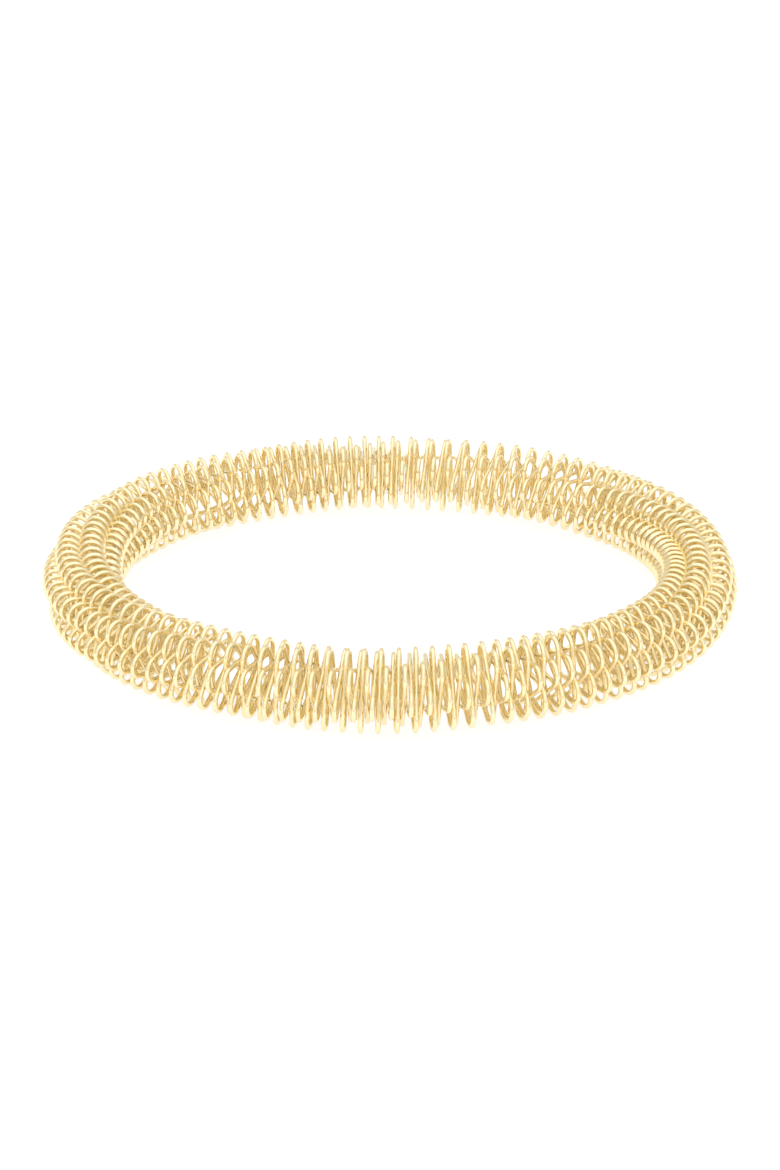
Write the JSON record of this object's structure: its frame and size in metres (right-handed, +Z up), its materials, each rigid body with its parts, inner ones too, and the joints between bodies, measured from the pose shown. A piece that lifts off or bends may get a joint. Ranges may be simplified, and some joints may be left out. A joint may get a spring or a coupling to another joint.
{
  "type": "twist bangle",
  "caption": "Springy oval wire bangle: gold-coloured wire wound into a hollow, see-through rope whose bends line up as slowly twisting ridges.",
  "frame": {"origin": "middle of the loop, on the surface that the bangle lies on", "axes": "+Z up through the wrist opening, +X along the oval's long way, -Y to the front of the picture"},
  "size_m": [0.0838, 0.0638, 0.0099],
  "materials": {
    "gold_wire": "polished pale gold plating on round wire"
  },
  "bodies": {
    "root": {"wire_rope": "gold_wire"}
  },
  "joints": []
}
